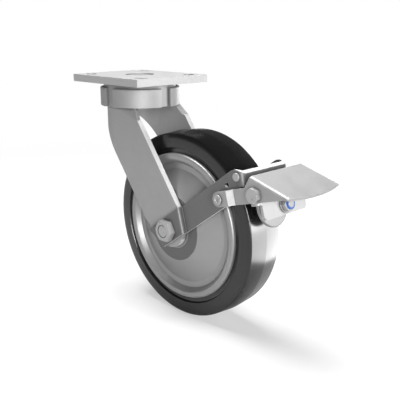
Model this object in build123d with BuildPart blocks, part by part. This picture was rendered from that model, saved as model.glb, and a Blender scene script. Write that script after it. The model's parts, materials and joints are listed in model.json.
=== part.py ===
from build123d import *
import os
from math import acos, atan2, cos, degrees, hypot, radians, sin, tan

# Plate-mounted swivel castor with a pedal brake that presses on the tread.
# Frame: origin in the middle of the mounting face, on the swivel axis.
# +Z points up into the equipment, +X is the trailing side with the pedal.
# Millimetres throughout.

os.makedirs("parts", exist_ok=True)

# Mounting plate
plate_length = 115.0
plate_width = 101.0
plate_thickness = 8.0
plate_corner = 1.5
wide_pattern_x = 92.1
wide_pattern_y = 66.7
square_pattern = 76.2
bolt_slot_width = 11.0

# Swivel head
kingpin_radius = 8.0
kingpin_head_radius = 15.0
kingpin_head_sink = 1.0
kingpin_head_edge = 1.5
kingpin_seat_depth = 7.0
head_recess_radius = 16.3
ring_radius = 44.6
ring_height = 20.0
collar_radius = 40.4
collar_height = 4.4
swivel_gap = 0.6
ring_bore = 10.0
ring_floor = 11.4
ring_cavity_radius = 24.5
ring_edge = 0.8
notch_width = 13.0
upper_ball = 7.94
upper_ball_circle_radius = 30.0
upper_ball_drop = 0.7
upper_ball_count = 14
lower_ball = 6.35
lower_ball_circle_radius = 15.0
lower_ball_count = 10
race_gap = 1.2
race_radius = 20.0
race_thickness = 4.0
kingpin_tip = 0.4
kingpin_point = 1.0
kingpin_nut_flats = 24.0
kingpin_nut_height = 7.2
groove_play = 0.06
fit = 0.02

# What all pieces share
edge_break = 0.5
crown_share = 0.95
crown_angle = 60.0
corner_up = 30.0
through = 250.0

# Fork, one plate bent into a U
fork_width = 75.0
fork_sheet = 6.0
fork_back_depth = 2.0
leg_front_top_x = 39.95
leg_front_top_z = -45.2
leg_knee_x = 101.35
leg_knee_z = -128.8
leg_heel_x = 50.0
leg_heel_z = -151.4
leg_end_radius = 19.3
flap_top_x = 30.5

# Wheel
wheel_x = 88.5
wheel_z = -154.5
wheel_radius = 101.5
tread_crown = 1.5
tread_half_width = 21.0
tyre_shoulder = 2.4
tyre_shoulder_half = 22.1
tyre_side = 23.4
tyre_bead = 5.6
tyre_lip = 1.0
tyre_groove_depth = 2.6
tyre_depth = 22.1
rim_half_width = 25.1
rim_flange = 5.9
rim_step = 4.6
dish_half_width = 19.6
dish_width = 7.1
hub_face_radius = 35.0
hub_half_width = 31.0
rim_sheet = 2.5
press_bend = 1.7
hub_tube_radius = 22.0

# Wheel bearings and axle
bearing_outer = 17.5
bearing_bore = 8.5
bearing_width = 10.0
bearing_recess = 1.0
bearing_ring = 2.6
bearing_ball_radius = 2.4
bearing_ball_count = 9
shoulder = 2.5
axle_radius = 7.0
axle_play = 0.08
axle_flats = 21.0
axle_nut_height = 7.5
axle_head_height = 8.0
axle_point = 1.0
spacer_radius = 11.5

# Brake yoke, folded from one strip around both legs
yoke_sheet = 3.0
yoke_width = 25.6
yoke_angle = 36.15
yoke_tail = 27.7
yoke_tail_skew = 10.0
yoke_past_pivot = 20.2
yoke_end_radius = 12.0
yoke_bend = 4.5
yoke_step_bend = 2.0
yoke_web_bottom_b = 8.0
step_play = 0.4

# Brake frame: origin on the pedal's pivot, beside the tyre; a runs outward
# along the pedal's tongue and b upward square to it
pivot_inset = 10.3
pivot_angle = 32.65
brake_tilt = 15.5
yoke_web_reach = 26.5
pivot_radius = 4.0
pivot_play = 0.05
pivot_head_radius = 5.0
pivot_head_height = 1.7
pivot_head_round = 1.1
pivot_dimple_radius = 2.7
pivot_dimple_depth = 0.9
pivot_dimple_taper = 40.0
pivot_gap = 0.3
bush_radius = 7.0
rivet_a = 19.0
rivet_b = 18.0
rivet_radius = 3.0
rivet_head_radius = 4.2
rivet_head_height = 1.4
rivet_head_round = 1.1
hook_hole_a = 4.9
hook_hole_b = 12.0
hook_hole_radius = 2.6

# Brake pedal
pedal_sheet = 2.5
pedal_half_width = 39.5
tongue_half_width = 7.4
tongue_step_start = 10.7
tongue_step = 5.0
pedal_back_a = 40.2
pedal_back_b = 17.4
pedal_front_a = 78.8
pedal_front_b = -6.15
pedal_nose = 5.6
pedal_heel_a = 31.1
pedal_heel_fillet = 5.0
pedal_fold = 1.8
cross_bolt_a = 42.0
cross_bolt_radius = 4.0
cross_bolt_flats = 13.0
cross_head_height = 5.3
cross_nut_height = 6.5
bolt_tip = 1.5
bolt_point = 0.8

# Pad bracket, pad and its screw
pad_standoff = 13.9
bracket_sheet = 3.0
bracket_half_width = 32.0
bracket_bottom_b = -25.6
bracket_top_b = -5.0
bracket_shoulder_b = -10.5
bracket_corner = 5.0
bracket_bend = 3.5
ear_play = 0.1
ear_radius = 8.0
pad_axis_b = -15.8
pad_gap = 7.85
pad_cup_radius = 21.7
pad_cup_depth = 3.3
pad_cup_wall = 2.0
pad_cup_round = 1.9
block_depth = 4.7
block_edge = 0.8
screw_radius = 4.0
pad_nut_flats = 13.0
stop_nut_height = 5.0
washer_radius = 8.3
washer_thickness = 1.6
lock_nut_height = 4.6
insert_height = 1.4
insert_radius = 5.4
screw_tip = 0.4

# Heights of the swivel head, counted down from the mounting face
head_edge_z = -kingpin_head_sink - kingpin_head_edge
ring_top_z = -plate_thickness - swivel_gap
ring_step_z = ring_top_z - collar_height
ring_bottom_z = ring_step_z - ring_height
floor_z = ring_top_z - ring_floor
upper_ball_z = ring_top_z - upper_ball_drop
lower_ball_z = floor_z - race_gap / 2
race_bottom_z = floor_z - race_gap - race_thickness
kingpin_end_z = race_bottom_z - kingpin_nut_height - kingpin_tip

# Radii of the wheel, from the tread and the seat of the tyre inward
tread_edge_radius = wheel_radius - tread_crown
rim_radius = wheel_radius - tyre_depth
tyre_bead_radius = rim_radius + tyre_bead
rim_face_radius = rim_radius - rim_flange
dish_radius = rim_face_radius - rim_step
cone_radius = dish_radius - dish_width

# Planes in Y of the fork, the yoke and the pedal
leg_outer = fork_width / 2
leg_inner = leg_outer - fork_sheet
yoke_outer = leg_outer + yoke_sheet
arm_outer = leg_inner + yoke_sheet
tongue_outer = pedal_half_width + tongue_step
tongue_inner = tongue_outer - pedal_sheet
flange_inner = pedal_half_width - pedal_sheet
ear_outer = flange_inner - ear_play

# Frames: the wheel's axis, the yoke's strip and the tilted brake
tilt = radians(brake_tilt)
along = Vector(cos(tilt), 0, sin(tilt))
upward = Vector(-sin(tilt), 0, cos(tilt))
pivot_turn = radians(pivot_angle)
axle = Vector(wheel_x, 0, wheel_z)
pivot = axle + Vector(cos(pivot_turn), 0, sin(pivot_turn)) * (wheel_radius - pivot_inset)
strip_turn = radians(yoke_angle)
strip_along = Vector(cos(strip_turn), 0, sin(strip_turn))
wheel_section = Plane(origin=axle, x_dir=(1, 0, 0), z_dir=(0, 0, 1))
wheel_side = Plane(origin=axle, x_dir=(1, 0, 0), z_dir=(0, -1, 0))
wheel_axis = Axis(axle, (0, 1, 0))
strip_side = Plane(origin=axle, x_dir=strip_along, z_dir=(0, -1, 0))
brake_side = Plane(origin=pivot, x_dir=along, z_dir=(0, -1, 0))
brake_fold = Plane(origin=pivot, x_dir=along, z_dir=upward)
pad_plane = Plane(origin=pivot + upward * pad_axis_b, x_dir=(0, 1, 0), z_dir=along)
pad_axis = Axis(pad_plane.origin, along)
axle_a = (axle - pivot).dot(along)
axle_b = (axle - pivot).dot(upward)
yoke_end_s = (pivot - axle).dot(strip_along) + yoke_past_pivot

# Places along the pad's axis, outward from the tread
tread_a = axle_a + (wheel_radius**2 - (pad_axis_b - axle_b) ** 2) ** 0.5
block_back_a = tread_a + pad_gap + block_depth
cup_front_a = block_back_a + pad_cup_wall - pad_cup_depth
bracket_face_a = block_back_a + pad_cup_wall + pad_standoff


def across(plane, y):
    """The side-on plane moved to the given Y; extruding from it runs toward -Y."""
    return plane.offset(-y)


def save(builder, name):
    """Name the finished piece and write it out."""
    builder.part.label = name
    export_step(builder.part, f"parts/{name}.step")


def hexagon(plane, flats, height, turn=0):
    """Hexagon standing on the plane, the corners of its outer end turned off."""
    with BuildSketch(plane) as six:
        RegularPolygon(flats / 2, 6, major_radius=False, rotation=turn)
    extrude(six.sketch, amount=height)
    with BuildSketch(plane) as cone:
        Circle(crown_share * flats / 2 + height * tan(radians(crown_angle)))
    extrude(cone.sketch, amount=height, taper=crown_angle, mode=Mode.INTERSECT)


def bore(plane, radius, depth):
    """Round hole from the plane along its normal."""
    with BuildSketch(plane) as hole:
        Circle(radius)
    extrude(hole.sketch, amount=depth, mode=Mode.SUBTRACT)


# Mounting plate: slots at the corners, countersunk seat and ball groove
slot_mid_x = (wide_pattern_x + square_pattern) / 4
slot_mid_y = (wide_pattern_y + square_pattern) / 4
slot_dx = (square_pattern - wide_pattern_x) / 2
slot_dy = (square_pattern - wide_pattern_y) / 2
with BuildPart() as top_plate:
    with BuildSketch(Plane.XY.offset(-plate_thickness)):
        RectangleRounded(plate_length, plate_width, plate_corner)
        for side_x in (-1, 1):
            for side_y in (-1, 1):
                lean = degrees(atan2(side_y * slot_dy, side_x * slot_dx))
                with Locations((side_x * slot_mid_x, side_y * slot_mid_y)):
                    SlotCenterToCenter(
                        hypot(slot_dx, slot_dy), bolt_slot_width, rotation=lean, mode=Mode.SUBTRACT
                    )
    extrude(amount=plate_thickness)
    with BuildSketch(Plane.XZ):
        with BuildLine():
            Polyline(
                (0, 0),
                (head_recess_radius, 0),
                (head_recess_radius, head_edge_z),
                (kingpin_head_radius + fit, head_edge_z),
                (kingpin_radius + fit, -kingpin_seat_depth),
                (kingpin_radius + fit, -plate_thickness),
                (0, -plate_thickness),
                close=True,
            )
        make_face()
        with Locations((upper_ball_circle_radius, upper_ball_z)):
            Circle(upper_ball / 2 + groove_play)
    revolve(axis=Axis.Z, mode=Mode.SUBTRACT)
save(top_plate, "top_plate")

# Kingpin with its sunk head
with BuildPart() as kingpin:
    with BuildSketch(Plane.XZ):
        with BuildLine():
            Polyline(
                (0, -kingpin_head_sink),
                (kingpin_head_radius - edge_break, -kingpin_head_sink),
                (kingpin_head_radius, -kingpin_head_sink - edge_break),
                (kingpin_head_radius, head_edge_z),
                (kingpin_radius, -kingpin_seat_depth),
                (kingpin_radius, kingpin_end_z + kingpin_point),
                (kingpin_radius - kingpin_point, kingpin_end_z),
                (0, kingpin_end_z),
                close=True,
            )
        make_face()
    revolve(axis=Axis.Z)
save(kingpin, "kingpin")

# Swivel ring of the fork: collar, four lock notches, grooves for both rows of balls
with BuildPart() as swivel_ring:
    with BuildSketch(Plane.XZ):
        with BuildLine():
            Polyline(
                (ring_bore, ring_top_z),
                (collar_radius, ring_top_z),
                (collar_radius, ring_step_z),
                (ring_radius - ring_edge, ring_step_z),
                (ring_radius, ring_step_z - ring_edge),
                (ring_radius, ring_bottom_z),
                (ring_cavity_radius, ring_bottom_z),
                (ring_cavity_radius, floor_z),
                (ring_bore, floor_z),
                close=True,
            )
        make_face()
        with Locations((upper_ball_circle_radius, upper_ball_z)):
            Circle(upper_ball / 2 + fit, mode=Mode.SUBTRACT)
        with Locations((lower_ball_circle_radius, lower_ball_z)):
            Circle(lower_ball / 2 + fit, mode=Mode.SUBTRACT)
    revolve(axis=Axis.Z)
    with BuildSketch(Plane.XY.offset(ring_step_z)):
        with PolarLocations(ring_radius, 4):
            Rectangle(2 * (ring_radius - collar_radius), notch_width)
        Circle(collar_radius, mode=Mode.SUBTRACT)
    extrude(amount=-ring_height, mode=Mode.SUBTRACT)
save(swivel_ring, "swivel_ring")

# Two rows of balls between plate, ring and lower race
with BuildPart() as upper_balls:
    with Locations((0, 0, upper_ball_z)):
        with PolarLocations(upper_ball_circle_radius, upper_ball_count):
            Sphere(upper_ball / 2)
save(upper_balls, "upper_balls")

with BuildPart() as lower_balls:
    with Locations((0, 0, lower_ball_z)):
        with PolarLocations(lower_ball_circle_radius, lower_ball_count):
            Sphere(lower_ball / 2)
save(lower_balls, "lower_balls")

# Grooved washer that carries the lower row
with BuildPart() as lower_race:
    with BuildSketch(Plane.XY.offset(race_bottom_z)):
        Circle(race_radius)
        Circle(kingpin_radius + fit, mode=Mode.SUBTRACT)
    extrude(amount=race_thickness)
    with BuildSketch(Plane.XZ):
        with Locations((lower_ball_circle_radius, lower_ball_z)):
            Circle(lower_ball / 2 + groove_play)
    revolve(axis=Axis.Z, mode=Mode.SUBTRACT)
save(lower_race, "lower_race")

with BuildPart() as kingpin_nut:
    under_race = Plane(origin=(0, 0, race_bottom_z), x_dir=(1, 0, 0), z_dir=(0, 0, -1))
    hexagon(under_race, kingpin_nut_flats, kingpin_nut_height)
    bore(under_race, kingpin_radius + fit, kingpin_nut_height)
save(kingpin_nut, "kingpin_nut")

# Fork: one plate bent into a U, cut to its side outline, top corners folded in
heel = Vector(leg_heel_x - wheel_x, leg_heel_z - wheel_z)
knee = Vector(leg_knee_x - wheel_x, leg_knee_z - wheel_z)
heel_turn = degrees(atan2(heel.Y, heel.X) + acos(leg_end_radius / heel.length))
knee_turn = degrees(atan2(knee.Y, knee.X) - acos(leg_end_radius / knee.length))
fork_reach = wheel_x + leg_end_radius
fork_drop = ring_bottom_z - wheel_z + leg_end_radius
flap_top_y = (ring_radius**2 - flap_top_x**2) ** 0.5
fold_start = Vector(0, -leg_outer, ring_bottom_z)
fold_end = Vector(leg_front_top_x, -leg_outer, leg_front_top_z)
flap_tip = Vector(flap_top_x, -flap_top_y, ring_bottom_z)
flap_rise = flap_tip - fold_end
flap_plane = Plane(
    origin=fold_start,
    x_dir=fold_end - fold_start,
    z_dir=(flap_tip - fold_start).cross(fold_end - fold_start),
)
flap_corners = [
    flap_plane.to_local_coords(corner)
    for corner in (fold_start, fold_end, flap_tip + flap_rise, fold_start + flap_rise)
]
with BuildPart() as fork:
    with BuildSketch(Plane.XY.offset(ring_bottom_z)):
        Circle(leg_outer)
        with Locations((fork_reach / 2, 0)):
            Rectangle(fork_reach, 2 * leg_outer)
        Circle(leg_inner, mode=Mode.SUBTRACT)
        with Locations((fork_reach / 2, 0)):
            Rectangle(fork_reach, 2 * leg_inner, mode=Mode.SUBTRACT)
    extrude(amount=-fork_drop)
    with BuildSketch(across(Plane.XZ, leg_outer)):
        with BuildLine():
            end = CenterArc((wheel_x, wheel_z), leg_end_radius, heel_turn, knee_turn + 360 - heel_turn)
            Polyline(
                end @ 1,
                (leg_knee_x, leg_knee_z),
                (leg_front_top_x, leg_front_top_z),
                (0, ring_bottom_z),
                (-leg_outer, ring_bottom_z),
                (-leg_outer, ring_bottom_z - fork_back_depth),
                (leg_heel_x, leg_heel_z),
                end @ 0,
            )
        make_face()
    extrude(amount=fork_width, mode=Mode.INTERSECT)
    with BuildSketch(flap_plane):
        with BuildLine():
            Polyline(*[(corner.X, corner.Y) for corner in flap_corners], close=True)
        make_face()
    extrude(amount=fork_sheet)
    with BuildSketch(Plane.XY.offset(ring_bottom_z)):
        Rectangle(through, through)
    extrude(amount=through, mode=Mode.SUBTRACT)
    mirror(about=Plane.XZ)
    bore(across(wheel_side, leg_outer), axle_radius + fit, fork_width)
save(fork, "fork")

# Axle bolt, its nut and the stepped sleeve that is clamped between the legs
with BuildPart() as axle_bolt:
    bolt_seat = Plane(origin=axle + Vector(0, yoke_outer, 0), x_dir=(1, 0, 0), z_dir=(0, 1, 0))
    hexagon(bolt_seat, axle_flats, axle_head_height)
    with BuildSketch(across(wheel_side, yoke_outer)):
        Circle(axle_radius)
    extrude(amount=2 * yoke_outer + axle_nut_height)
    chamfer(axle_bolt.edges().sort_by(Axis.Y)[0], axle_point)
save(axle_bolt, "axle_bolt")

with BuildPart() as axle_nut:
    hexagon(across(wheel_side, -yoke_outer), axle_flats, axle_nut_height)
    bore(across(wheel_side, -yoke_outer), axle_radius + fit, axle_nut_height)
save(axle_nut, "axle_nut")

bearing_out = hub_half_width - bearing_recess
bearing_in = bearing_out - bearing_width
with BuildPart() as axle_sleeve:
    with BuildSketch(across(wheel_side, leg_inner)):
        Circle(bearing_bore - fit)
    extrude(amount=2 * leg_inner)
    with BuildSketch(across(wheel_side, bearing_in)):
        Circle(spacer_radius)
    extrude(amount=2 * bearing_in)
    bore(across(wheel_side, leg_inner), axle_radius + axle_play, 2 * leg_inner)
save(axle_sleeve, "axle_sleeve")

# Ball bearings: the inner rings reach out to the legs and stand still with them
ball_circle = (bearing_outer + bearing_bore) / 2
ball_y = (bearing_out + bearing_in) / 2
for side, name in ((-1, "near"), (1, "far")):
    with BuildPart() as inner_ring:
        with BuildSketch(wheel_section):
            with Locations((bearing_bore + bearing_ring / 2, side * (leg_inner + bearing_in) / 2)):
                Rectangle(bearing_ring, leg_inner - bearing_in)
            with Locations((ball_circle, side * ball_y)):
                Circle(bearing_ball_radius + groove_play, mode=Mode.SUBTRACT)
        revolve(axis=wheel_axis)
    save(inner_ring, f"inner_ring_{name}")

    with BuildPart() as outer_ring:
        with BuildSketch(wheel_section):
            with Locations((bearing_outer - bearing_ring / 2, side * ball_y)):
                Rectangle(bearing_ring, bearing_width)
            with Locations((ball_circle, side * ball_y)):
                Circle(bearing_ball_radius + fit, mode=Mode.SUBTRACT)
        revolve(axis=wheel_axis)
    save(outer_ring, f"outer_ring_{name}")

    with BuildPart() as bearing_balls:
        with Locations(across(wheel_side, side * ball_y)):
            with PolarLocations(ball_circle, bearing_ball_count):
                Sphere(bearing_ball_radius)
    save(bearing_balls, f"bearing_balls_{name}")

# Hub tube with a shoulder behind each bearing
with BuildPart() as hub_tube:
    with BuildSketch(across(wheel_side, hub_half_width)):
        Circle(hub_tube_radius)
        Circle(bearing_outer - shoulder, mode=Mode.SUBTRACT)
    extrude(amount=2 * hub_half_width)
    bore(across(wheel_side, hub_half_width), bearing_outer + fit, hub_half_width - bearing_in)
    bore(across(wheel_side, -bearing_in), bearing_outer + fit, hub_half_width - bearing_in)
save(hub_tube, "hub_tube")

# Pressed rim discs: flat hub face, cone, dish and flanged seat for the tyre
sheet_mid = rim_sheet / 2
for side, name in ((-1, "near"), (1, "far")):
    with BuildPart() as rim_disc:
        with BuildSketch(wheel_section):
            with BuildLine():
                FilletPolyline(
                    (0, side * (hub_half_width - sheet_mid)),
                    (hub_face_radius, side * (hub_half_width - sheet_mid)),
                    (cone_radius, side * (dish_half_width - sheet_mid)),
                    (dish_radius, side * (dish_half_width - sheet_mid)),
                    (rim_face_radius, side * (rim_half_width - sheet_mid)),
                    (rim_radius - sheet_mid, side * (rim_half_width - sheet_mid)),
                    (rim_radius - sheet_mid, -side * rim_half_width),
                    radius=press_bend,
                )
                offset(amount=sheet_mid, side=Side.BOTH)
            make_face()
            with Locations((hub_tube_radius + fit, 0)):
                Rectangle(
                    rim_radius,
                    hub_half_width,
                    align=(Align.MIN, Align.MIN if side > 0 else Align.MAX),
                    mode=Mode.INTERSECT,
                )
        revolve(axis=wheel_axis)
    save(rim_disc, f"rim_disc_{name}")

# Solid rubber tyre: tread that slopes off from its mould line, bead lip and a
# groove beside the rim
seat_radius = rim_radius + fit
groove_y = tyre_side - tyre_groove_depth
with BuildPart() as tyre:
    with BuildSketch(wheel_section):
        with BuildLine():
            Polyline(
                (tread_edge_radius, -tread_half_width),
                (wheel_radius, 0),
                (tread_edge_radius, tread_half_width),
            )
            for side in (-1, 1):
                Polyline(
                    (tread_edge_radius, side * tread_half_width),
                    (tread_edge_radius - tyre_shoulder, side * tyre_shoulder_half),
                    (tyre_bead_radius, side * tyre_side),
                    (tyre_bead_radius - tyre_lip, side * groove_y),
                    (seat_radius, side * groove_y),
                )
            Line((seat_radius, -groove_y), (seat_radius, groove_y))
        make_face()
    revolve(axis=wheel_axis)
save(tyre, "tyre")

# Brake yoke: one strip folded over both legs, stepped in ahead of them,
# with a cross web at the pedal end
step_a = axle_a + leg_end_radius + step_play + yoke_sheet / 2
web_a = yoke_web_reach - yoke_sheet / 2
tail_a = axle_a - yoke_tail - yoke_width
over_y = leg_outer + yoke_sheet / 2
arm_y = leg_inner + yoke_sheet / 2
with BuildPart() as brake_yoke:
    with BuildSketch(brake_fold.offset(-through / 2)):
        with BuildLine() as fold_line:
            Polyline(
                (tail_a, -over_y),
                (step_a, -over_y),
                (step_a, -arm_y),
                (web_a, -arm_y),
                (web_a, arm_y),
                (step_a, arm_y),
                (step_a, over_y),
                (tail_a, over_y),
            )
            at_step = fold_line.vertices().filter_by_position(Axis.X, step_a - fit, step_a + fit)
            fillet(at_step, yoke_step_bend)
            at_web = fold_line.vertices().filter_by_position(Axis.X, web_a - fit, web_a + fit)
            fillet(at_web, yoke_bend)
            offset(amount=yoke_sheet / 2, side=Side.BOTH)
        make_face()
    extrude(amount=through)
    with BuildSketch(across(strip_side, yoke_outer)):
        with BuildLine():
            Polyline(
                (yoke_end_s, yoke_width / 2),
                (-yoke_tail, yoke_width / 2),
                (yoke_tail_skew - yoke_tail, -yoke_width / 2),
                (yoke_end_s + yoke_end_radius, -yoke_width / 2),
                (yoke_end_s + yoke_end_radius, yoke_width / 2 - yoke_end_radius),
            )
            CenterArc((yoke_end_s, yoke_width / 2 - yoke_end_radius), yoke_end_radius, 0, 90)
        make_face()
    extrude(amount=2 * yoke_outer, mode=Mode.INTERSECT)
    with BuildSketch(across(brake_side, yoke_outer)):
        with Locations((web_a - yoke_bend, yoke_web_bottom_b)):
            Rectangle(2 * yoke_width, 2 * yoke_width, align=(Align.MIN, Align.MAX))
    extrude(amount=2 * yoke_outer, mode=Mode.SUBTRACT)
    bore(across(wheel_side, yoke_outer), axle_radius + fit, 2 * yoke_outer)
    with BuildSketch(across(brake_side, yoke_outer)):
        Circle(pivot_radius + fit)
        with Locations((rivet_a, rivet_b)):
            Circle(rivet_radius + fit)
        with Locations((hook_hole_a, hook_hole_b)):
            Circle(hook_hole_radius)
    extrude(amount=2 * yoke_outer, mode=Mode.SUBTRACT)
save(brake_yoke, "brake_yoke")

# Pins, bushes and rivets on both arms of the yoke, heads outward
for side, name in ((-1, "near"), (1, "far")):
    outward = Plane(origin=pivot, x_dir=along, z_dir=(0, side, 0))
    with BuildPart() as pivot_pin:
        with BuildSketch(outward.offset(leg_inner - pivot_head_height)):
            Circle(pivot_head_radius)
        extrude(amount=pivot_head_height)
        with BuildSketch(outward.offset(leg_inner)):
            Circle(pivot_radius)
        extrude(amount=tongue_outer + pivot_gap - leg_inner)
        with BuildSketch(outward.offset(tongue_outer + pivot_gap)):
            Circle(pivot_head_radius)
        extrude(amount=pivot_head_height)
        rim = pivot_pin.edges().sort_by(Axis((0, 0, 0), (0, side, 0)))[-1]
        fillet(rim, pivot_head_round)
        with BuildSketch(outward.offset(tongue_outer + pivot_gap + pivot_head_height)):
            Circle(pivot_dimple_radius)
        extrude(amount=-pivot_dimple_depth, taper=pivot_dimple_taper, mode=Mode.SUBTRACT)
    save(pivot_pin, f"pivot_pin_{name}")

    with BuildPart() as pivot_bush:
        with BuildSketch(outward.offset(arm_outer)):
            Circle(bush_radius)
            Circle(pivot_radius + fit, mode=Mode.SUBTRACT)
        extrude(amount=tongue_inner - pivot_gap - arm_outer)
    save(pivot_bush, f"pivot_bush_{name}")

    with BuildPart() as stop_rivet:
        spot = outward.origin + along * rivet_a + upward * rivet_b
        rivet_out = Plane(origin=spot, x_dir=along, z_dir=(0, side, 0))
        with BuildSketch(rivet_out.offset(arm_outer)):
            Circle(rivet_head_radius)
        extrude(amount=rivet_head_height)
        rim = stop_rivet.edges().sort_by(Axis((0, 0, 0), (0, side, 0)))[-1]
        fillet(rim, rivet_head_round)
        with BuildSketch(rivet_out.offset(leg_inner)):
            Circle(rivet_radius)
        extrude(amount=yoke_sheet)
    save(stop_rivet, f"stop_rivet_{name}")

# Brake pedal: a channel cut to its side outline, with a tongue to each pivot
slope = atan2(pedal_back_b - pedal_front_b, pedal_front_a - pedal_back_a)
pedal_run = hypot(pedal_back_b - pedal_front_b, pedal_front_a - pedal_back_a)
pedal_back = pivot + along * pedal_back_a + upward * pedal_back_b
pedal_dir = along * cos(slope) - upward * sin(slope)
pedal_up = along * sin(slope) + upward * cos(slope)
pedal_end = Plane(origin=pedal_back, x_dir=(0, 1, 0), z_dir=pedal_dir)
pedal_top = Plane(origin=pedal_back, x_dir=pedal_dir, z_dir=pedal_up)
pedal_side = Plane(origin=pedal_back, x_dir=pedal_dir, z_dir=(0, -1, 0))
wall_y = pedal_half_width - pedal_sheet / 2
under_s = (pedal_back_b + tongue_half_width - pedal_sheet * cos(slope)) / sin(slope)
tip_s = pedal_run + 2 * pedal_nose
with BuildPart() as brake_pedal:
    with BuildSketch(pedal_end.offset(-pedal_run / 2)):
        with BuildLine():
            FilletPolyline(
                (-wall_y, -pedal_run),
                (-wall_y, -pedal_sheet / 2),
                (wall_y, -pedal_sheet / 2),
                (wall_y, -pedal_run),
                radius=pedal_fold,
            )
            offset(amount=pedal_sheet / 2, side=Side.BOTH)
        make_face()
    extrude(amount=2 * pedal_run)
    with BuildSketch(across(brake_side, pedal_half_width)) as outline:
        with BuildLine():
            Polyline(
                (tongue_step_start + tongue_step, -tongue_half_width),
                (tongue_step_start + tongue_step, tongue_half_width),
                (pedal_heel_a, tongue_half_width),
                (pedal_back_a, pedal_back_b),
                (pedal_back_a + tip_s * cos(slope), pedal_back_b - tip_s * sin(slope)),
                (
                    pedal_back_a + tip_s * cos(slope) - pedal_sheet * sin(slope),
                    pedal_back_b - tip_s * sin(slope) - pedal_sheet * cos(slope),
                ),
                (
                    pedal_back_a + under_s * cos(slope) - pedal_sheet * sin(slope),
                    -tongue_half_width,
                ),
                close=True,
            )
        make_face()
        heel_window = (pedal_heel_a - fit, pedal_heel_a + fit)
        at_heel = outline.vertices().filter_by_position(Axis.X, *heel_window)
        fillet(at_heel, pedal_heel_fillet)
    extrude(amount=2 * pedal_half_width, mode=Mode.INTERSECT)
    with BuildSketch(pedal_top.offset(-pedal_run)):
        with BuildLine():
            ThreePointArc(
                (pedal_run, -pedal_half_width),
                (pedal_run + pedal_nose, 0),
                (pedal_run, pedal_half_width),
            )
            Polyline(
                (pedal_run, -pedal_half_width),
                (-pedal_run, -pedal_half_width),
                (-pedal_run, pedal_half_width),
                (pedal_run, pedal_half_width),
            )
        make_face()
    extrude(amount=2 * pedal_run, mode=Mode.INTERSECT)
    for side in (-1, 1):
        with BuildSketch(brake_fold.offset(-tongue_half_width)):
            with BuildLine():
                Polyline(
                    (-tongue_half_width, side * (wall_y + tongue_step)),
                    (tongue_step_start, side * (wall_y + tongue_step)),
                    (tongue_step_start + tongue_step, side * wall_y),
                    (pedal_heel_a, side * wall_y),
                )
                offset(amount=pedal_sheet / 2, side=Side.BOTH)
            make_face()
        extrude(amount=2 * tongue_half_width)
    with BuildSketch(across(brake_side, tongue_outer)):
        Rectangle(2 * tongue_half_width, 2 * tongue_half_width, align=(Align.MAX, Align.CENTER))
        Circle(tongue_half_width, mode=Mode.SUBTRACT)
    extrude(amount=2 * tongue_outer, mode=Mode.SUBTRACT)
    with BuildSketch(across(brake_side, tongue_outer)):
        Circle(pivot_radius + pivot_play)
        with Locations((cross_bolt_a, 0)):
            Circle(cross_bolt_radius + fit)
    extrude(amount=2 * tongue_outer, mode=Mode.SUBTRACT)
save(brake_pedal, "brake_pedal")

# Cross bolt through the pedal's flanges and the ears of the bracket
bolt_line = pivot + along * cross_bolt_a
with BuildPart() as cross_bolt:
    head_seat = Plane(
        origin=bolt_line + Vector(0, -pedal_half_width, 0), x_dir=along, z_dir=(0, -1, 0)
    )
    hexagon(head_seat, cross_bolt_flats, cross_head_height, corner_up)
    with BuildSketch(head_seat):
        Circle(cross_bolt_radius)
    extrude(amount=-(2 * pedal_half_width + cross_nut_height + bolt_tip))
    chamfer(cross_bolt.edges().sort_by(Axis.Y)[-1], bolt_point)
save(cross_bolt, "cross_bolt")

with BuildPart() as cross_nut:
    nut_seat = Plane(origin=bolt_line + Vector(0, pedal_half_width, 0), x_dir=along, z_dir=(0, 1, 0))
    hexagon(nut_seat, cross_bolt_flats, cross_nut_height, corner_up)
    bore(nut_seat, cross_bolt_radius + fit, cross_nut_height)
save(cross_nut, "cross_nut")

# Pad bracket: a folded web hanging from two ears on the cross bolt
bracket_mid_a = bracket_face_a - bracket_sheet / 2
ear_mid_y = ear_outer - bracket_sheet / 2
ear_back_a = cross_bolt_a - ear_radius
with BuildPart() as pad_bracket:
    with BuildSketch(brake_fold.offset(bracket_bottom_b)):
        with BuildLine():
            FilletPolyline(
                (ear_back_a, -ear_mid_y),
                (bracket_mid_a, -ear_mid_y),
                (bracket_mid_a, ear_mid_y),
                (ear_back_a, ear_mid_y),
                radius=bracket_bend,
            )
            offset(amount=bracket_sheet / 2, side=Side.BOTH)
        make_face()
    extrude(amount=bracket_top_b - bracket_bottom_b)
    with BuildSketch(pad_plane) as front:
        with Locations((0, bracket_bottom_b - pad_axis_b)):
            Rectangle(
                2 * bracket_half_width,
                bracket_shoulder_b - bracket_bottom_b,
                align=(Align.CENTER, Align.MIN),
            )
        with Locations((0, bracket_shoulder_b - pad_axis_b)):
            Rectangle(2 * ear_outer, -bracket_shoulder_b, align=(Align.CENTER, Align.MIN))
        low = front.vertices().group_by(Axis.Y)[0]
        fillet(low, bracket_corner)
    extrude(amount=through, mode=Mode.INTERSECT)
    for start in (ear_outer, bracket_sheet - ear_outer):
        with BuildSketch(across(brake_side, start)):
            with Locations((cross_bolt_a, 0)):
                Circle(ear_radius)
            with Locations((ear_back_a, bracket_shoulder_b)):
                Rectangle(
                    bracket_mid_a - bracket_bend - ear_back_a,
                    -bracket_shoulder_b,
                    align=(Align.MIN, Align.MIN),
                )
        extrude(amount=bracket_sheet)
    with BuildSketch(across(brake_side, ear_outer)):
        with Locations((cross_bolt_a, 0)):
            Circle(cross_bolt_radius + fit)
    extrude(amount=2 * ear_outer, mode=Mode.SUBTRACT)
    bore(pad_plane.offset(ear_back_a), screw_radius + fit, 2 * ear_radius)
save(pad_bracket, "pad_bracket")

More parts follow.
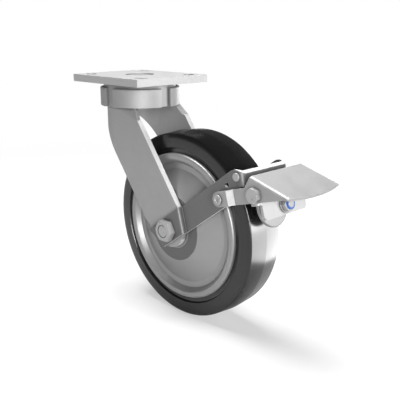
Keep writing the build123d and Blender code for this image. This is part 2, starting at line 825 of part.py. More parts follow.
# Pad: pressed cup, rubber block, and the screw that carries them on the bracket
with BuildPart() as pad_cup:
    with BuildSketch(pad_plane.offset(cup_front_a)):
        Circle(pad_cup_radius)
    extrude(amount=pad_cup_depth)
    fillet(pad_cup.edges().sort_by(pad_axis)[-1], pad_cup_round)
    bore(pad_plane.offset(cup_front_a), pad_cup_radius - pad_cup_wall, pad_cup_depth - pad_cup_wall)
    bore(pad_plane.offset(cup_front_a), screw_radius + fit, pad_cup_depth)
save(pad_cup, "pad_cup")

with BuildPart() as brake_block:
    with BuildSketch(pad_plane.offset(block_back_a)):
        Circle(pad_cup_radius - pad_cup_wall - fit)
    extrude(amount=-block_depth)
    chamfer(brake_block.edges().sort_by(pad_axis)[0], block_edge)
save(brake_block, "brake_block")

web_in_a = bracket_face_a - bracket_sheet
washer_out_a = bracket_face_a + washer_thickness
nut_out_a = washer_out_a + lock_nut_height
screw_tip_a = nut_out_a + insert_height + screw_tip
with BuildPart() as pad_screw:
    with BuildSketch(pad_plane.offset(block_back_a)):
        Circle(screw_radius)
    extrude(amount=screw_tip_a - block_back_a)
    chamfer(pad_screw.edges().sort_by(pad_axis)[-1], edge_break)
save(pad_screw, "pad_screw")

with BuildPart() as stop_nut:
    hexagon(pad_plane.offset(web_in_a - stop_nut_height), pad_nut_flats, stop_nut_height)
    bore(pad_plane.offset(web_in_a - stop_nut_height), screw_radius + fit, stop_nut_height)
save(stop_nut, "stop_nut")

with BuildPart() as pad_washer:
    with BuildSketch(pad_plane.offset(bracket_face_a)):
        Circle(washer_radius)
        Circle(screw_radius + fit, mode=Mode.SUBTRACT)
    extrude(amount=washer_thickness)
save(pad_washer, "pad_washer")

with BuildPart() as lock_nut:
    hexagon(pad_plane.offset(washer_out_a), pad_nut_flats, lock_nut_height)
    bore(pad_plane.offset(washer_out_a), screw_radius + fit, lock_nut_height)
save(lock_nut, "lock_nut")

with BuildPart() as lock_insert:
    with BuildSketch(pad_plane.offset(nut_out_a)):
        Circle(insert_radius)
        Circle(screw_radius + fit, mode=Mode.SUBTRACT)
    extrude(amount=insert_height)
save(lock_insert, "lock_insert")
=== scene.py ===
import json
from math import pi, radians

import bpy
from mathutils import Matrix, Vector

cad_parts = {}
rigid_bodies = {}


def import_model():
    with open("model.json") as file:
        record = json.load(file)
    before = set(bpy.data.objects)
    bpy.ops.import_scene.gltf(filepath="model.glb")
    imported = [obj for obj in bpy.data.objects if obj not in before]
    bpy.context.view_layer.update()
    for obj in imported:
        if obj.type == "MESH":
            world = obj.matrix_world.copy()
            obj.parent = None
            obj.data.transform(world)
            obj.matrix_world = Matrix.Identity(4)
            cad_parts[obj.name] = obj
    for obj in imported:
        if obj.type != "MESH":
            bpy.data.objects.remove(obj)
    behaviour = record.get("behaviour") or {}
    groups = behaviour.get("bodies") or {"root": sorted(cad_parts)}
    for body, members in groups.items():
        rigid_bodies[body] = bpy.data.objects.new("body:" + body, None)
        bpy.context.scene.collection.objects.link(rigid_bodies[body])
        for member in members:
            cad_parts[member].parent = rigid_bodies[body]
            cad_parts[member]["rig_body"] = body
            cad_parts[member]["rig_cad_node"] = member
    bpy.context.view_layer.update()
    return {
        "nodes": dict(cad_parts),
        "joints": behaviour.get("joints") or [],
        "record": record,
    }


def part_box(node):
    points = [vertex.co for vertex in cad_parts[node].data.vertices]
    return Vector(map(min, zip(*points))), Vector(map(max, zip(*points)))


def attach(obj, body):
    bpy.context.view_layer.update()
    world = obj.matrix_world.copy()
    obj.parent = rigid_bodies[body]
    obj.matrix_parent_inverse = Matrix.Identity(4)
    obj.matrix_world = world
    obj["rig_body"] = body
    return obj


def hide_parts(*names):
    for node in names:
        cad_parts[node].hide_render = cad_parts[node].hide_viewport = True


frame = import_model()

bl_info = {
    "name": "Swivel castor with pedal brake",
    "version": (1, 0, 0),
    "blender": (4, 5, 0),
    "location": "View3D > Sidebar > Castor",
    "description": "Finishes, rounded edges, tyre and hardware of a braked swivel castor",
    "category": "Object",
}

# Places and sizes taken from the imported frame, in metres
AXLE = Vector(next(joint["pos_m"] for joint in frame["joints"] if joint["name"] == "wheel_spin"))
BODIES = frame["record"]["behaviour"]["bodies"]
TYRE_LOW, TYRE_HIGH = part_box("tyre")
WHEEL_RADIUS = (TYRE_HIGH.x - TYRE_LOW.x) / 2
TYRE_HALF_WIDTH = (TYRE_HIGH.y - TYRE_LOW.y) / 2
FLOOR_Z = TYRE_LOW.z

# Nodes by the kind of piece that they are
SHEET_PIECES = ("top_plate", "swivel_ring", "fork", "brake_yoke", "brake_pedal", "pad_bracket", "pad_cup")
FOLDED_PIECES = ("fork", "brake_yoke", "pad_bracket")
DISC_PIECES = ("rim_disc_near", "rim_disc_far")
RIM_PIECES = DISC_PIECES + ("hub_tube",)
BOLT_PIECES = (
    "kingpin", "kingpin_nut", "lower_race", "axle_bolt", "axle_nut", "axle_sleeve",
    "pivot_pin_near", "pivot_pin_far", "pivot_bush_near", "pivot_bush_far",
    "stop_rivet_near", "stop_rivet_far", "cross_bolt", "cross_nut",
    "pad_screw", "stop_nut", "pad_washer", "lock_nut",
)
BEARING_PIECES = (
    "upper_balls", "lower_balls", "inner_ring_near", "inner_ring_far",
    "outer_ring_near", "outer_ring_far", "bearing_balls_near", "bearing_balls_far",
)

# The finish of each node
FINISHES = {
    "Zinc sheet": ("top_plate", "pad_bracket"),
    "Folded sheet": ("fork", "brake_pedal"),
    "Turned ring": ("swivel_ring",),
    "Yoke sheet": ("brake_yoke",),
    "Pressed steel": RIM_PIECES + ("pad_cup",),
    "Bright zinc": BOLT_PIECES,
    "Bearing steel": BEARING_PIECES,
    "Tyre rubber": ("tyre",),
    "Block rubber": ("brake_block",),
    "Blue nylon": ("lock_insert",),
}

# Share of the fine grain in the clouds of plated metal
GRAIN_SHARE = 0.35
# Spangle of plated metal: its share in the roughness, and how many to the metre
SPANGLE_SHARE = 0.5
SPANGLE_SCALE = 240.0
# How far the roughness of plated metal swings with its clouds and spangle
ROUGHNESS_SWING = 0.18
# Share of the colour that a deep crevice loses to painted shade
CREVICE_SHADE_DEPTH = 0.75
# How much rougher rubber is where it blooms
BLOOM_ROUGHNESS = 0.06
# Depth of the metal's grain and the rubber's pores
RELIEF_DEPTH = 0.0001

# In a copy of a node, vertices this close become one
MERGE_DISTANCE = 0.000002
# In a copy of a node, faces within this angle become one, in degrees
FLAT_ANGLE = 0.5
# In a turned piece, vertices this close become one
RING_MERGE_DISTANCE = 0.00001
# Edges sharper than this stay sharp, in degrees: on a node, a rounded copy and a turned piece
NODE_SMOOTH_ANGLE = 25
ROUNDED_SMOOTH_ANGLE = 35
LATHE_SMOOTH_ANGLE = 40

# A sheared edge of a folded sheet that gets the painted highlight faces at most this much sideways, and at
# least this much up or down
HIGHLIT_EDGE_SIDEWAYS = 0.3
HIGHLIT_EDGE_UPRIGHT = 0.4
# A face of a rim disc's flat middle, painted darker as shade, faces this much along the axle and lies inside
# this radius
HUB_FACE_ALONG = 0.99
HUB_FACE_RADIUS = 0.0375

# Radius of the tyre's inside, on the rim discs
SEAT_RADIUS = 0.07945
# How much the wall of the bead lip widens from the groove's floor up to the side
LIP_RISE = 0.0010
# Rounding of the corners of the groove and the lip
CORNER = 0.0002
# The side leans in from this radius, by this much for each unit of radius
WALL_FOOT = 0.0855
WALL_LEAN = 0.1
WALL_RADII = (0.0860, 0.0940)
# Radii of the shoulder, each with how far it lies inside the tyre's full width
SHOULDER = ((0.0972, 0.00122), (0.0980, 0.00155))
# Radii of the tread's edge, each with how far it lies outside the tread's half width
TREAD_EDGE = ((0.0994, 0.0003), (0.0999, -0.0004))
TREAD_HALF_WIDTH = 0.0210
# The tread's run, from its edge to the line round its middle, as distances from the middle
TREAD_RUN = (0.0200, 0.0005)

# The floor's side, and the distances between which it fades to plain white
FLOOR_SIDE = 60
FADE_START = 0.35
FADE_END = 1.1
# Extra light that the camera sees on the floor
FLOOR_LIFT = 0.4
# The world's share of white in gloss, and its plain light
WORLD_IN_GLOSS = 0.06
WORLD_LIGHT = 0.05

# Each lamp's place, the point it faces, its diameter and its power
MIDDLE = (0.10, 0.0, -0.12)
LAMPS = {
    "key_lamp": ((2.30, -1.60, 0.45), MIDDLE, 1.4, 78),
    "rim_lamp": ((2.20, 1.00, 0.0), MIDDLE, 1.2, 42),
    "tyre_lamp": ((0.60, 0.43, FLOOR_Z + 0.20), (0.33, 0.16, FLOOR_Z + 1.12), 1.04, 18),
    "back_lamp": ((-0.60, 2.30, -0.05), MIDDLE, 1.0, 26),
    "top_lamp": ((-0.10, 0.0, 1.15), MIDDLE, 0.9, 32),
}
# The tyre lamp lights the tyre alone, and the top lamp leaves it out, so that its tread stays black
TYRE_LINKS = {"tyre_lamp": "INCLUDE", "top_lamp": "EXCLUDE"}

CAMERA_PLACE = (0.5505, -0.4512, 0.0523)
CAMERA_DIRECTION = (-0.6828, 0.6784, -0.2714)
CAMERA_LENS = 55.57
CAMERA_SENSOR = 36.0
CAMERA_NEAREST = 0.01


class CastorSizes(bpy.types.PropertyGroup):
    """Sizes that a user would change"""

    edge_radius: bpy.props.FloatProperty(
        name="Edge radius", description="Rounding of the sheet's edges", default=0.00035, unit="LENGTH"
    )
    press_radius: bpy.props.FloatProperty(
        name="Press radius", description="Rounding of the rim's bends", default=0.0005, unit="LENGTH"
    )
    bolt_edge: bpy.props.FloatProperty(
        name="Bolt edge", description="Rounding of bolts and nuts", default=0.0002, unit="LENGTH"
    )
    bead_radius: bpy.props.FloatProperty(
        name="Bead radius", description="Where the tyre's side begins, outside the groove at its bead",
        default=0.0850, unit="LENGTH",
    )
    groove_depth: bpy.props.FloatProperty(
        name="Groove depth", description="Depth of the groove at the bead below the tyre's side",
        default=0.0026, unit="LENGTH",
    )
    tread_drop: bpy.props.FloatProperty(
        name="Tread drop", description="How much lower the tread is at its edges than in its middle",
        default=0.0015, unit="LENGTH",
    )
    tread_segments: bpy.props.IntProperty(
        name="Tread segments", description="Facets round the tyre", default=192, min=24
    )


class CastorColours(bpy.types.PropertyGroup):
    """Colours that a user would change"""

    zinc: bpy.props.FloatVectorProperty(
        name="Zinc", description="Plated sheet", subtype="COLOR", size=3, default=(0.42, 0.42, 0.42)
    )
    yoke: bpy.props.FloatVectorProperty(
        name="Yoke", description="Darker plated sheet of the brake's yoke", subtype="COLOR", size=3,
        default=(0.15, 0.15, 0.15),
    )
    folded: bpy.props.FloatVectorProperty(
        name="Folded zinc", description="Plated sheet of the fork and the pedal", subtype="COLOR", size=3,
        default=(0.35, 0.35, 0.35),
    )
    ring: bpy.props.FloatVectorProperty(
        name="Ring", description="Turned ring of the swivel head", subtype="COLOR", size=3,
        default=(0.30, 0.30, 0.30),
    )
    # Lighter colour for sheared edges that face up or down: a painted highlight
    edge_highlight: bpy.props.FloatVectorProperty(
        name="Cut edge", description="Sheared edges of the thick sheet", subtype="COLOR", size=3,
        default=(0.62, 0.62, 0.62),
    )
    bright: bpy.props.FloatVectorProperty(
        name="Bright zinc", description="Bolts, nuts, pins and bearings", subtype="COLOR", size=3,
        default=(0.36, 0.36, 0.36),
    )
    pressed: bpy.props.FloatVectorProperty(
        name="Pressed steel", description="Rim discs, hub and the cup of the pad", subtype="COLOR", size=3,
        default=(0.30, 0.30, 0.30),
    )
    # Darker colour for the flat middle of the rim discs: painted shade
    hub_face_shade: bpy.props.FloatVectorProperty(
        name="Hub face", description="Flat middle of the rim discs", subtype="COLOR", size=3,
        default=(0.13, 0.13, 0.13),
    )
    rubber: bpy.props.FloatVectorProperty(
        name="Rubber", description="Tyre and brake block", subtype="COLOR", size=3,
        default=(0.005, 0.005, 0.005),
    )
    insert: bpy.props.FloatVectorProperty(
        name="Insert", description="Nylon ring in the lock nut", subtype="COLOR", size=3,
        default=(0.02, 0.10, 0.42),
    )
    floor: bpy.props.FloatVectorProperty(
        name="Floor", description="Pale floor", subtype="COLOR", size=3, default=(0.50, 0.50, 0.50)
    )


def sizes():
    return bpy.context.scene.castor_sizes


def colours():
    return bpy.context.scene.castor_colours


# Nodes of a material


def add_node(tree, kind, place, settings=None, **inputs):
    """A node with its settings. An input is named by its label, or by i and its number."""
    made = tree.nodes.new(kind)
    made.location = place
    for key, value in (settings or {}).items():
        setattr(made, key, value)
    for key, value in inputs.items():
        socket = made.inputs[int(key[1:])] if key[1:].isdigit() else made.inputs[key.replace("_", " ")]
        if isinstance(value, bpy.types.NodeSocket):
            tree.links.new(value, socket)
        else:
            socket.default_value = value
    return made


def scaled_sum(tree, place, value, factor, added, clamp=False):
    """Value times factor plus added."""
    return add_node(
        tree, "ShaderNodeMath", place, {"operation": "MULTIPLY_ADD", "use_clamp": clamp},
        i0=value, i1=factor, i2=added,
    ).outputs[0]


def ramp(tree, place, value, low, high, start=0.0, end=1.0):
    """Value mapped from the range start to end onto the range low to high."""
    return add_node(
        tree, "ShaderNodeMapRange", place, None, Value=value,
        i1=start, i2=end, i3=low, i4=high,
    ).outputs["Result"]


def new_group(name, inputs, outputs):
    """An empty node group with named float sockets."""
    tree = bpy.data.node_groups.new(name, "ShaderNodeTree")
    for label, value in inputs.items():
        socket = tree.interface.new_socket(name=label, in_out="INPUT", socket_type="NodeSocketFloat")
        socket.default_value = value
    for label in outputs:
        tree.interface.new_socket(name=label, in_out="OUTPUT", socket_type="NodeSocketFloat")
    return tree, tree.nodes.new("NodeGroupInput"), tree.nodes.new("NodeGroupOutput")


def background_share(tree, in_gloss):
    """How much of the white background a ray meets: all of it seen or through glass, a share in gloss."""
    path = add_node(tree, "ShaderNodeLightPath", (-1300, 300))
    clear = add_node(tree, "ShaderNodeMath", (-1100, 300), {"operation": "MAXIMUM"},
                     i0=path.outputs["Is Camera Ray"], i1=path.outputs["Is Transmission Ray"]).outputs[0]
    return scaled_sum(tree, (-900, 300), path.outputs["Is Glossy Ray"], in_gloss, clear, clamp=True)


def metal_surface_group():
    """Cloudy plating, fine grain, edges lightened by wear and a painted highlight, and painted shade in the
    crevices of sheet metal.
    """
    tree, given, out = new_group(
        "Plated surface",
        {"Cloud scale": 60.0, "Grain scale": 900.0, "Spread": 0.1, "Edge width": 0.0006,
         "Crevice reach": 0.004},
        ("Tone", "Roughness", "Edge", "Crevice shade", "Height"),
    )
    where = add_node(tree, "ShaderNodeTexCoord", (-900, 0)).outputs["Object"]
    cloud = add_node(tree, "ShaderNodeTexNoise", (-700, 200), None, Vector=where,
                     Scale=given.outputs["Cloud scale"], Detail=4.0, Roughness=0.6).outputs["Fac"]
    grain = add_node(tree, "ShaderNodeTexNoise", (-700, -100), None, Vector=where,
                     Scale=given.outputs["Grain scale"], Detail=3.0, Roughness=0.55).outputs["Fac"]
    spangle = add_node(tree, "ShaderNodeTexVoronoi", (-700, -400), {"feature": "SMOOTH_F1"},
                       Vector=where, Scale=SPANGLE_SCALE).outputs["Distance"]
    mixed = scaled_sum(tree, (-480, 100), grain, GRAIN_SHARE, cloud)
    centred = add_node(tree, "ShaderNodeMath", (-320, 100), {"operation": "SUBTRACT"},
                       i0=mixed, i1=(1 + GRAIN_SHARE) / 2).outputs[0]
    tone = scaled_sum(tree, (-160, 100), centred, given.outputs["Spread"], 1.0)
    rough = scaled_sum(tree, (-160, -150), spangle, SPANGLE_SHARE, centred)

    # An edge is where the rounded normal leaves the flat one; it is lightened partly as wear and partly as a
    # painted highlight
    rounded = add_node(tree, "ShaderNodeBevel", (-700, -650), {"samples": 4},
                       Radius=given.outputs["Edge width"]).outputs["Normal"]
    flat = add_node(tree, "ShaderNodeNewGeometry", (-700, -820)).outputs["Normal"]
    facing = add_node(tree, "ShaderNodeVectorMath", (-480, -700), {"operation": "DOT_PRODUCT"},
                      i0=rounded, i1=flat).outputs["Value"]
    edge = ramp(tree, (-320, -700), facing, 1.0, 0.0, start=0.80, end=0.995)

    # A crevice is where other faces close off the surface; the colour is darkened there as painted shade
    openness = add_node(tree, "ShaderNodeAmbientOcclusion", (-700, -1000), {"samples": 8},
                        Distance=given.outputs["Crevice reach"]).outputs["AO"]
    crevice_shade = ramp(tree, (-320, -1000), openness, 1.0, 0.0, start=0.25, end=0.95)

    tree.links.new(tone, out.inputs["Tone"])
    tree.links.new(rough, out.inputs["Roughness"])
    tree.links.new(edge, out.inputs["Edge"])
    tree.links.new(crevice_shade, out.inputs["Crevice shade"])
    tree.links.new(mixed, out.inputs["Height"])
    return tree


def rubber_surface_group():
    """Fine pores and a dusty bloom on rubber."""
    tree, given, out = new_group(
        "Rubber surface", {"Bloom scale": 35.0, "Pore scale": 1400.0}, ("Bloom", "Pores"),
    )
    where = add_node(tree, "ShaderNodeTexCoord", (-700, 0)).outputs["Object"]
    bloom = add_node(tree, "ShaderNodeTexNoise", (-480, 150), None, Vector=where,
                     Scale=given.outputs["Bloom scale"], Detail=5.0, Roughness=0.65).outputs["Fac"]
    pores = add_node(tree, "ShaderNodeTexNoise", (-480, -150), None, Vector=where,
                     Scale=given.outputs["Pore scale"], Detail=2.0).outputs["Fac"]
    tree.links.new(ramp(tree, (-240, 150), bloom, 0.0, 1.0, start=0.35, end=0.75), out.inputs["Bloom"])
    tree.links.new(pores, out.inputs["Pores"])
    return tree


# Materials


def blank_material(name):
    """A material with its Principled shader and nothing linked yet."""
    made = bpy.data.materials.new(name)
    made.use_nodes = True
    return made, made.node_tree, made.node_tree.nodes["Principled BSDF"]


def tint_by(tree, shader, colour, gain):
    """The colour, lighter or darker by the gain over the surface, is the shader's base colour."""
    tint = add_node(tree, "ShaderNodeVectorMath", (-300, 200), {"operation": "SCALE"}, i0=colour, Scale=gain)
    tree.links.new(tint.outputs["Vector"], shader.inputs["Base Color"])


def emboss(tree, shader, height, strength):
    """The height stands out of the surface."""
    relief = add_node(tree, "ShaderNodeBump", (-300, -200), None, Strength=strength,
                      Distance=RELIEF_DEPTH, Height=height)
    tree.links.new(relief.outputs["Normal"], shader.inputs["Normal"])


def metal(name, colour, group, roughness, metallic=0.5, spread=0.16, cloud=60.0, bump=0.15, edge_wear_and_highlight_gain=0.2):
    """Plated metal with its clouds and grain, edges lightened by wear and a painted highlight, and painted
    shade darkening its crevices.
    """
    made, tree, shader = blank_material(name)
    used = add_node(tree, "ShaderNodeGroup", (-700, 0), {"node_tree": group})
    used.inputs["Cloud scale"].default_value = cloud
    used.inputs["Spread"].default_value = spread
    # Edges get lighter by the gain: partly wear, partly a painted highlight
    worn_and_highlit = scaled_sum(tree, (-480, 350), used.outputs["Edge"], edge_wear_and_highlight_gain, used.outputs["Tone"])
    # The crevice mask darkens the colour: painted shade
    gain = scaled_sum(tree, (-480, 200), used.outputs["Crevice shade"], -CREVICE_SHADE_DEPTH, worn_and_highlit)
    tint_by(tree, shader, colour, gain)
    matt = scaled_sum(tree, (-300, 0), used.outputs["Roughness"], ROUGHNESS_SWING, roughness, clamp=True)
    tree.links.new(matt, shader.inputs["Roughness"])
    emboss(tree, shader, used.outputs["Height"], bump)
    shader.inputs["Metallic"].default_value = metallic


def rubber(name, colour, group, roughness, bloom_gain, specular, bump):
    """Black rubber with bloom and pores."""
    made, tree, shader = blank_material(name)
    used = add_node(tree, "ShaderNodeGroup", (-700, 0), {"node_tree": group})
    tint_by(tree, shader, colour, scaled_sum(tree, (-480, 200), used.outputs["Bloom"], bloom_gain, 1.0))
    matt = ramp(tree, (-300, 0), used.outputs["Bloom"], roughness, roughness + BLOOM_ROUGHNESS)
    tree.links.new(matt, shader.inputs["Roughness"])
    emboss(tree, shader, used.outputs["Pores"], bump)
    shader.inputs["Specular IOR Level"].default_value = specular


def nylon(name, colour, group, low, high):
    """Dyed nylon, its roughness between low and high with its bloom."""
    made, tree, shader = blank_material(name)
    used = add_node(tree, "ShaderNodeGroup", (-500, 0), {"node_tree": group})
    matt = ramp(tree, (-250, 0), used.outputs["Bloom"], low, high)
    tree.links.new(matt, shader.inputs["Roughness"])
    shader.inputs["Base Color"].default_value = (*colour, 1.0)


def pale_floor():
    """A matt floor with the castor's shadow, which fades to plain white away from the castor."""
    made, tree, shader = blank_material("Pale floor")
    shader.inputs["Base Color"].default_value = (*colours().floor, 1.0)
    shader.inputs["Roughness"].default_value = 0.9
    where = add_node(tree, "ShaderNodeTexCoord", (-900, -300)).outputs["Object"]
    reach = add_node(tree, "ShaderNodeVectorMath", (-700, -300), {"operation": "LENGTH"}, i0=where)
    far = add_node(tree, "ShaderNodeMapRange", (-500, -300), {"interpolation_type": "SMOOTHSTEP"},
                   Value=reach.outputs["Value"], i1=FADE_START, i2=FADE_END, i3=0.0, i4=1.0)
    mask = add_node(tree, "ShaderNodeMath", (-300, -200), {"operation": "MULTIPLY"},
                    i0=background_share(tree, 1.0), i1=far.outputs["Result"])
    path = add_node(tree, "ShaderNodeLightPath", (-500, -500))
    lift = add_node(tree, "ShaderNodeMath", (-300, -400), {"operation": "MULTIPLY"},
                    i0=path.outputs["Is Camera Ray"], i1=FLOOR_LIFT)
    glow = add_node(tree, "ShaderNodeEmission", (0, -450), None, Strength=lift.outputs[0])
    lit = add_node(tree, "ShaderNodeAddShader", (200, 0), None, i0=shader.outputs[0], i1=glow.outputs[0])
    plain = add_node(tree, "ShaderNodeEmission", (0, -300), None, Strength=1.0)
    both = add_node(tree, "ShaderNodeMixShader", (400, 0), None, Fac=mask.outputs[0],
                    i1=lit.outputs[0], i2=plain.outputs[0])
    tree.links.new(both.outputs[0], tree.nodes["Material Output"].inputs["Surface"])
    return made


def plain_world():
    """A world that is white to the camera and lights the castor evenly and faintly."""
    world = bpy.context.scene.world or bpy.data.worlds.new("World")
    bpy.context.scene.world = world
    world.use_nodes = True
    tree = world.node_tree
    tree.nodes.clear()
    seen = background_share(tree, WORLD_IN_GLOSS)
    white = (1, 1, 1, 1)
    plain = add_node(tree, "ShaderNodeBackground", (-400, 0), None, Color=white, Strength=1.0)
    soft = add_node(tree, "ShaderNodeBackground", (-400, -200), None, Color=white, Strength=WORLD_LIGHT)
    mixed = add_node(tree, "ShaderNodeMixShader", (-200, 0), None, Fac=seen,
                     i1=soft.outputs[0], i2=plain.outputs[0])
    end = add_node(tree, "ShaderNodeOutputWorld", (0, 0))
    tree.links.new(mixed.outputs[0], end.inputs["Surface"])


def give(piece, material):
    """The piece wears this material alone."""
    piece.data.materials.clear()
    piece.data.materials.append(material)


# Modelling helpers


def deselect():
    bpy.ops.object.select_all(action="DESELECT")


def activate(piece):
    deselect()
    piece.select_set(True)
    bpy.context.view_layer.objects.active = piece


def edit(piece):
    activate(piece)
    bpy.ops.object.mode_set(mode="EDIT")
    bpy.ops.mesh.select_all(action="SELECT")


def done():
    bpy.ops.object.mode_set(mode="OBJECT")


def apply_place(piece):
    """The object goes to the origin and its place goes into its mesh."""
    activate(piece)
    bpy.ops.object.transform_apply(location=True, rotation=True, scale=True)


def smooth(piece, angle):
    activate(piece)
    bpy.ops.object.shade_smooth_by_angle(angle=radians(angle))


def finish_modifier(piece, kind, **settings):
    """A modifier with these settings, applied at once."""
    activate(piece)
    made = piece.modifiers.new(kind.title(), kind)
    for key, value in settings.items():
        setattr(made, key, value)
    bpy.ops.object.modifier_apply(modifier=made.name)


def round_over(piece, width, segments, angle):
    """Edges sharper than the angle are rounded, and the flat faces keep their own normals."""
    finish_modifier(
        piece, "BEVEL", width=width, segments=segments, limit_method="ANGLE",
        angle_limit=radians(angle), use_clamp_overlap=True,
    )
    smooth(piece, ROUNDED_SMOOTH_ANGLE)
    finish_modifier(piece, "WEIGHTED_NORMAL", keep_sharp=True)


def copy_of_node(node, name):
    """A merged copy of a CAD node, its flat faces made whole again."""
    deselect()
    piece = frame["nodes"][node].copy()
    piece.data = frame["nodes"][node].data.copy()
    piece.name = name
    piece.parent = None
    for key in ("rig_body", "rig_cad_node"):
        if key in piece:
            del piece[key]
    bpy.context.scene.collection.objects.link(piece)
    edit(piece)
    bpy.ops.mesh.remove_doubles(threshold=MERGE_DISTANCE)
    bpy.ops.mesh.dissolve_limited(angle_limit=radians(FLAT_ANGLE))
    done()
    return piece


def stand_for(piece, node):
    """The piece rides on its node's body and hides the node."""
    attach(piece, next(body for body, names in BODIES.items() if node in names))
    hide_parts(node)


def paint_edge_highlights(piece):
    """The sheared edges of a folded sheet, which face up or down its outline, get a lighter colour: a
    painted highlight.
    """
    piece.data.materials.append(bpy.data.materials["Cut edge"])
    for face in piece.data.polygons:
        if abs(face.normal.y) < HIGHLIT_EDGE_SIDEWAYS and abs(face.normal.z) > HIGHLIT_EDGE_UPRIGHT:
            face.material_index = 1


def shade_hub_face(piece):
    """The flat middle of a rim disc, round the hub, gets a darker copy of its steel: painted shade."""
    piece.data.materials.append(bpy.data.materials["Hub face"])
    for face in piece.data.polygons:
        corners = [piece.data.vertices[index].co - AXLE for index in face.vertices]
        reach = max(Vector((corner.x, corner.z)).length for corner in corners)
        if abs(face.normal.y) > HUB_FACE_ALONG and reach < HUB_FACE_RADIUS:
            face.material_index = 1


def lathe(name, rings, centre, segments):
    """A ring turned about the Y axis: a circle that is extruded from ring to ring."""
    deselect()
    last_radius, last_y = rings[0]
    bpy.ops.mesh.primitive_circle_add(
        vertices=segments, radius=last_radius, fill_type="NOTHING",
        location=centre + Vector((0, last_y, 0)), rotation=(pi / 2, 0, 0),
    )
    piece = bpy.context.object
    piece.name = name
    apply_place(piece)
    edit(piece)
    for radius, y in rings[1:]:
        bpy.ops.mesh.extrude_edges_move(TRANSFORM_OT_translate={"value": (0, y - last_y, 0)})
        bpy.ops.transform.resize(
            value=(radius / last_radius, 1, radius / last_radius),
            center_override=centre + Vector((0, y, 0)),
        )
        last_radius, last_y = radius, y
    bpy.ops.mesh.select_all(action="SELECT")
    bpy.ops.mesh.remove_doubles(threshold=RING_MERGE_DISTANCE)
    bpy.ops.mesh.normals_make_consistent(inside=False)
    done()
    return piece


def tyre_half_section():
    """Radius and distance from the middle of each ring, from the seat out to the tread's middle."""
    bead = sizes().bead_radius
    lip = bead - LIP_RISE
    half = TYRE_HALF_WIDTH
    groove = half - sizes().groove_depth
    drop = sizes().tread_drop / TREAD_HALF_WIDTH
    rings = [
        (SEAT_RADIUS, groove),
        (lip - CORNER, groove),
        (lip + CORNER, groove + CORNER),
        (bead - CORNER, half - 2 * CORNER),
        (bead + CORNER, half),
    ]
    rings += [(radius, half - WALL_LEAN * (radius - WALL_FOOT)) for radius in WALL_RADII]
    rings += [(radius, half - inset) for radius, inset in SHOULDER]
    rings += [(radius, TREAD_HALF_WIDTH + outset) for radius, outset in TREAD_EDGE]
    rings += [(WHEEL_RADIUS - drop * y, y) for y in TREAD_RUN]
    rings.append((WHEEL_RADIUS, 0.0))
    return rings


# Operators, one for each piece or group of like pieces


class CASTOR_OT_stage(bpy.types.Operator):
    """Pale floor, soft lamps, plain world and the camera"""

    bl_idname = "castor.stage"
    bl_label = "Stage"

    def execute(self, context):
        deselect()
        bpy.ops.mesh.primitive_plane_add(size=FLOOR_SIDE, location=(0, 0, FLOOR_Z))
        floor = bpy.context.object
        floor.name = "floor"
        give(floor, pale_floor())
        plain_world()

        for name, (place, target, size, power) in LAMPS.items():
            bpy.ops.object.light_add(type="AREA", location=place)
            lamp = bpy.context.object
            lamp.name = name
            lamp.data.shape = "DISK"
            lamp.data.size = size
            lamp.data.energy = power
            lamp.visible_camera = False
            lamp.rotation_euler = (Vector(target) - Vector(place)).to_track_quat("-Z", "Y").to_euler()

        bpy.ops.object.camera_add(location=CAMERA_PLACE)
        camera = bpy.context.object
        camera.rotation_euler = Vector(CAMERA_DIRECTION).to_track_quat("-Z", "Y").to_euler()
        camera.data.sensor_width = CAMERA_SENSOR
        camera.data.lens = CAMERA_LENS
        camera.data.clip_start = CAMERA_NEAREST
        bpy.context.scene.camera = camera
        bpy.context.scene.view_settings.view_transform = "Standard"
        return {"FINISHED"}


class CASTOR_OT_finishes(bpy.types.Operator):
    """Give every node of the castor its material"""

    bl_idname = "castor.finishes"
    bl_label = "Finishes"

    def execute(self, context):
        plated = metal_surface_group()
        soft = rubber_surface_group()
        tone = colours()
        metal("Zinc sheet", tone.zinc, plated, roughness=0.50)
        # A lighter copy of the sheet for edges that face up or down: painted highlight
        metal("Cut edge", tone.edge_highlight, plated, roughness=0.45, metallic=0.2, edge_wear_and_highlight_gain=0.0)
        metal("Folded sheet", tone.folded, plated, roughness=0.50)
        metal("Turned ring", tone.ring, plated, roughness=0.48)
        metal("Yoke sheet", tone.yoke, plated, roughness=0.42)
        metal("Bright zinc", tone.bright, plated, roughness=0.28, metallic=0.3, cloud=150.0)
        metal("Pressed steel", tone.pressed, plated, roughness=0.34, cloud=45.0)
        # A darker copy of the pressed steel for the flat hub face: painted shade
        metal("Hub face", tone.hub_face_shade, plated, roughness=0.40, cloud=45.0)
        metal("Bearing steel", tone.bright, plated, roughness=0.12, spread=0.03, bump=0.03)
        rubber("Tyre rubber", tone.rubber, soft, roughness=0.23, bloom_gain=0.5, specular=0.7, bump=0.05)
        rubber("Block rubber", tone.rubber, soft, roughness=0.7, bloom_gain=1.2, specular=0.3, bump=0.2)
        nylon("Blue nylon", tone.insert, soft, low=0.35, high=0.5)
        for kind, names in FINISHES.items():
            for name in names:
                give(frame["nodes"][name], bpy.data.materials[kind])
                smooth(frame["nodes"][name], NODE_SMOOTH_ANGLE)
        return {"FINISHED"}


class CASTOR_OT_sheet(bpy.types.Operator):
    """Copies of the plate, ring and folded sheets with their edges rounded over"""

    bl_idname = "castor.sheet"
    bl_label = "Sheet pieces"

    def execute(self, context):
        for node in SHEET_PIECES:
            piece = copy_of_node(node, "rounded_" + node)
            round_over(piece, sizes().edge_radius, segments=2, angle=35)
            if node in FOLDED_PIECES:
                paint_edge_highlights(piece)
            stand_for(piece, node)
        return {"FINISHED"}


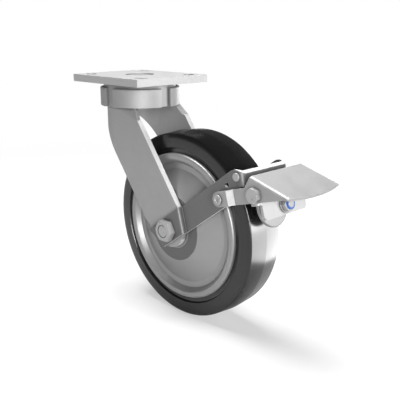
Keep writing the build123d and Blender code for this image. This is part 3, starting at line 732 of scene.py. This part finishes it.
class CASTOR_OT_rims(bpy.types.Operator):
    """Copies of the rim discs and hub with the bends of pressed steel"""

    bl_idname = "castor.rims"
    bl_label = "Rim discs"

    def execute(self, context):
        for node in RIM_PIECES:
            piece = copy_of_node(node, "pressed_" + node)
            round_over(piece, sizes().press_radius, segments=3, angle=30)
            if node in DISC_PIECES:
                shade_hub_face(piece)
            stand_for(piece, node)
        return {"FINISHED"}


class CASTOR_OT_hardware(bpy.types.Operator):
    """Copies of the bolts, nuts, pins and washers with their edges broken"""

    bl_idname = "castor.hardware"
    bl_label = "Bolts and nuts"

    def execute(self, context):
        for node in BOLT_PIECES:
            piece = copy_of_node(node, "broken_edge_" + node)
            round_over(piece, sizes().bolt_edge, segments=2, angle=30)
            stand_for(piece, node)
        return {"FINISHED"}


class CASTOR_OT_tyre(bpy.types.Operator):
    """The rubber tyre: tread that rises to a line round its middle, rounded shoulders and bead lip"""

    bl_idname = "castor.tyre"
    bl_label = "Tyre"

    def execute(self, context):
        half = tyre_half_section()
        rings = [(radius, -y) for radius, y in half] + half[-2::-1]
        rings.append(rings[0])
        piece = lathe("moulded_tyre", rings, AXLE, sizes().tread_segments)
        smooth(piece, LATHE_SMOOTH_ANGLE)
        give(piece, bpy.data.materials["Tyre rubber"])
        stand_for(piece, "tyre")
        for lamp, state in TYRE_LINKS.items():
            linked = bpy.data.collections.new("Tyre and " + lamp)
            linked.objects.link(piece)
            linked.collection_objects[0].light_linking.link_state = state
            bpy.data.objects[lamp].light_linking.receiver_collection = linked
        return {"FINISHED"}


class CASTOR_PT_panel(bpy.types.Panel):
    """The castor's sizes, colours and steps"""

    bl_label = "Castor"
    bl_idname = "CASTOR_PT_panel"
    bl_space_type = "VIEW_3D"
    bl_region_type = "UI"
    bl_category = "Castor"

    def draw(self, context):
        for group in (context.scene.castor_sizes, context.scene.castor_colours):
            for key in group.bl_rna.properties.keys():
                if key not in ("rna_type", "name"):
                    self.layout.prop(group, key)
        for step in STEPS:
            self.layout.operator(step)


STEPS = (
    "castor.stage", "castor.finishes", "castor.sheet", "castor.rims", "castor.hardware", "castor.tyre",
)
CLASSES = (
    CastorSizes, CastorColours, CASTOR_OT_stage, CASTOR_OT_finishes, CASTOR_OT_sheet,
    CASTOR_OT_rims, CASTOR_OT_hardware, CASTOR_OT_tyre, CASTOR_PT_panel,
)


def register():
    for kind in CLASSES:
        bpy.utils.register_class(kind)
    bpy.types.Scene.castor_sizes = bpy.props.PointerProperty(type=CastorSizes)
    bpy.types.Scene.castor_colours = bpy.props.PointerProperty(type=CastorColours)


def unregister():
    del bpy.types.Scene.castor_sizes
    del bpy.types.Scene.castor_colours
    for kind in reversed(CLASSES):
        bpy.utils.unregister_class(kind)


def main():
    register()
    bpy.ops.castor.stage()
    bpy.ops.castor.finishes()
    bpy.ops.castor.sheet()
    bpy.ops.castor.rims()
    bpy.ops.castor.hardware()
    bpy.ops.castor.tyre()


if __name__ == "__main__":
    main()
